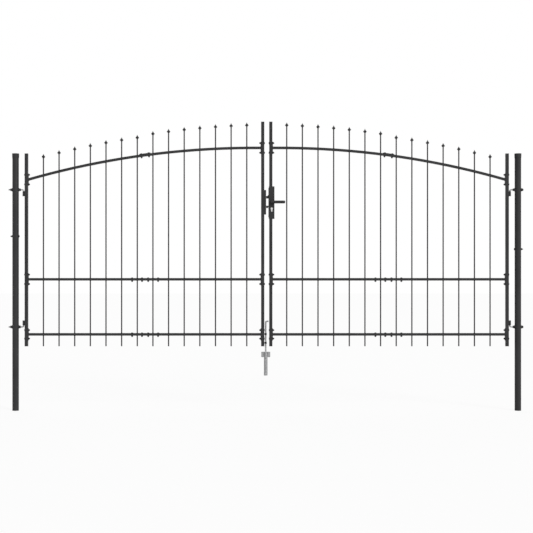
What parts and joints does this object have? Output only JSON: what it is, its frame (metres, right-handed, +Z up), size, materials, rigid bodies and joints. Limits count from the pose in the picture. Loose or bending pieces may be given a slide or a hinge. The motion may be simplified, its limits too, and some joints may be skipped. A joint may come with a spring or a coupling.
{
  "type": "double-leaf driveway gate",
  "caption": "Arched double-leaf driveway gate of black tubular steel with spear-topped bars, round posts, hook-bolt hinges, lever lock and drop bolt.",
  "frame": {"origin": "centre of the left post's bottom face", "axes": "+X from the left post to the right post, +Z up, and -Y the side seen in the picture"},
  "size_m": [4.007, 0.1012, 2.247],
  "materials": {
    "powder_coat": "satin black powder coat",
    "zinc": "galvanised",
    "black_plastic": "matte",
    "nickel": "satin nickel"
  },
  "bodies": {
    "posts": {"left_post_lower": "powder_coat", "left_post_upper": "powder_coat", "left_post_cap": "black_plastic", "right_post_lower": "powder_coat", "right_post_upper": "powder_coat", "right_post_cap": "black_plastic", "left_top_hook": "zinc", "left_low_hook": "zinc", "left_hook_nuts": "powder_coat", "right_top_hook": "zinc", "right_low_hook": "zinc", "right_hook_nuts": "powder_coat", "ground_socket": "zinc"},
    "left_leaf": {"left_hinge_stile": "powder_coat", "left_hinge_barrels": "powder_coat", "left_lock_stile": "powder_coat", "left_stile_plugs": "black_plastic", "left_outer_panel": "powder_coat", "left_inner_panel": "powder_coat", "left_rail_sleeves": "powder_coat", "keeper": "powder_coat", "drop_bolt_guides": "powder_coat"},
    "drop_bolt": {"drop_bolt": "zinc"},
    "right_leaf": {"right_hinge_stile": "powder_coat", "right_hinge_barrels": "powder_coat", "right_lock_stile": "powder_coat", "right_stile_plugs": "black_plastic", "right_outer_panel": "powder_coat", "right_inner_panel": "powder_coat", "right_rail_sleeves": "powder_coat", "lock_case": "powder_coat", "lock_forend": "powder_coat", "lock_cylinder": "nickel"},
    "levers": {"front_lever": "black_plastic", "rear_lever": "black_plastic", "lever_spindle": "zinc"},
    "latch": {"latch_bolt": "powder_coat"},
    "dead_bolt": {"dead_bolt": "powder_coat"}
  },
  "joints": [
    {"name": "left_leaf_swing", "type": "hinge", "parent": "posts", "child": "left_leaf", "pos_m": [0.063, 0, 0.65], "axis": [0, 0, 1], "range_deg": [-90, 90]},
    {"name": "right_leaf_swing", "type": "hinge", "parent": "posts", "child": "right_leaf", "pos_m": [3.847, 0, 0.65], "axis": [0, 0, -1], "range_deg": [-90, 90]},
    {"name": "drop_bolt_slide", "type": "slide", "parent": "left_leaf", "child": "drop_bolt", "axis": [0, 0, 1], "range_m": [-0.075, 0.04]},
    {"name": "lever_turn", "type": "hinge", "parent": "right_leaf", "child": "levers", "pos_m": [1.994, 0, 1.623], "axis": [0, 1, 0], "range_deg": [0, 40], "stiffness_Nm_per_rad": 1.2, "springref_deg": -45.84},
    {"name": "latch_slide", "type": "slide", "parent": "right_leaf", "child": "latch", "axis": [1, 0, 0], "range_m": [0, 0.019]},
    {"name": "dead_bolt_slide", "type": "slide", "parent": "right_leaf", "child": "dead_bolt", "axis": [-1, 0, 0], "range_m": [-0.019, 0.01]}
  ],
  "couplings": [
    {"joint": "latch_slide", "follows": "lever_turn", "m_per_rad": 0.027215}
  ]
}
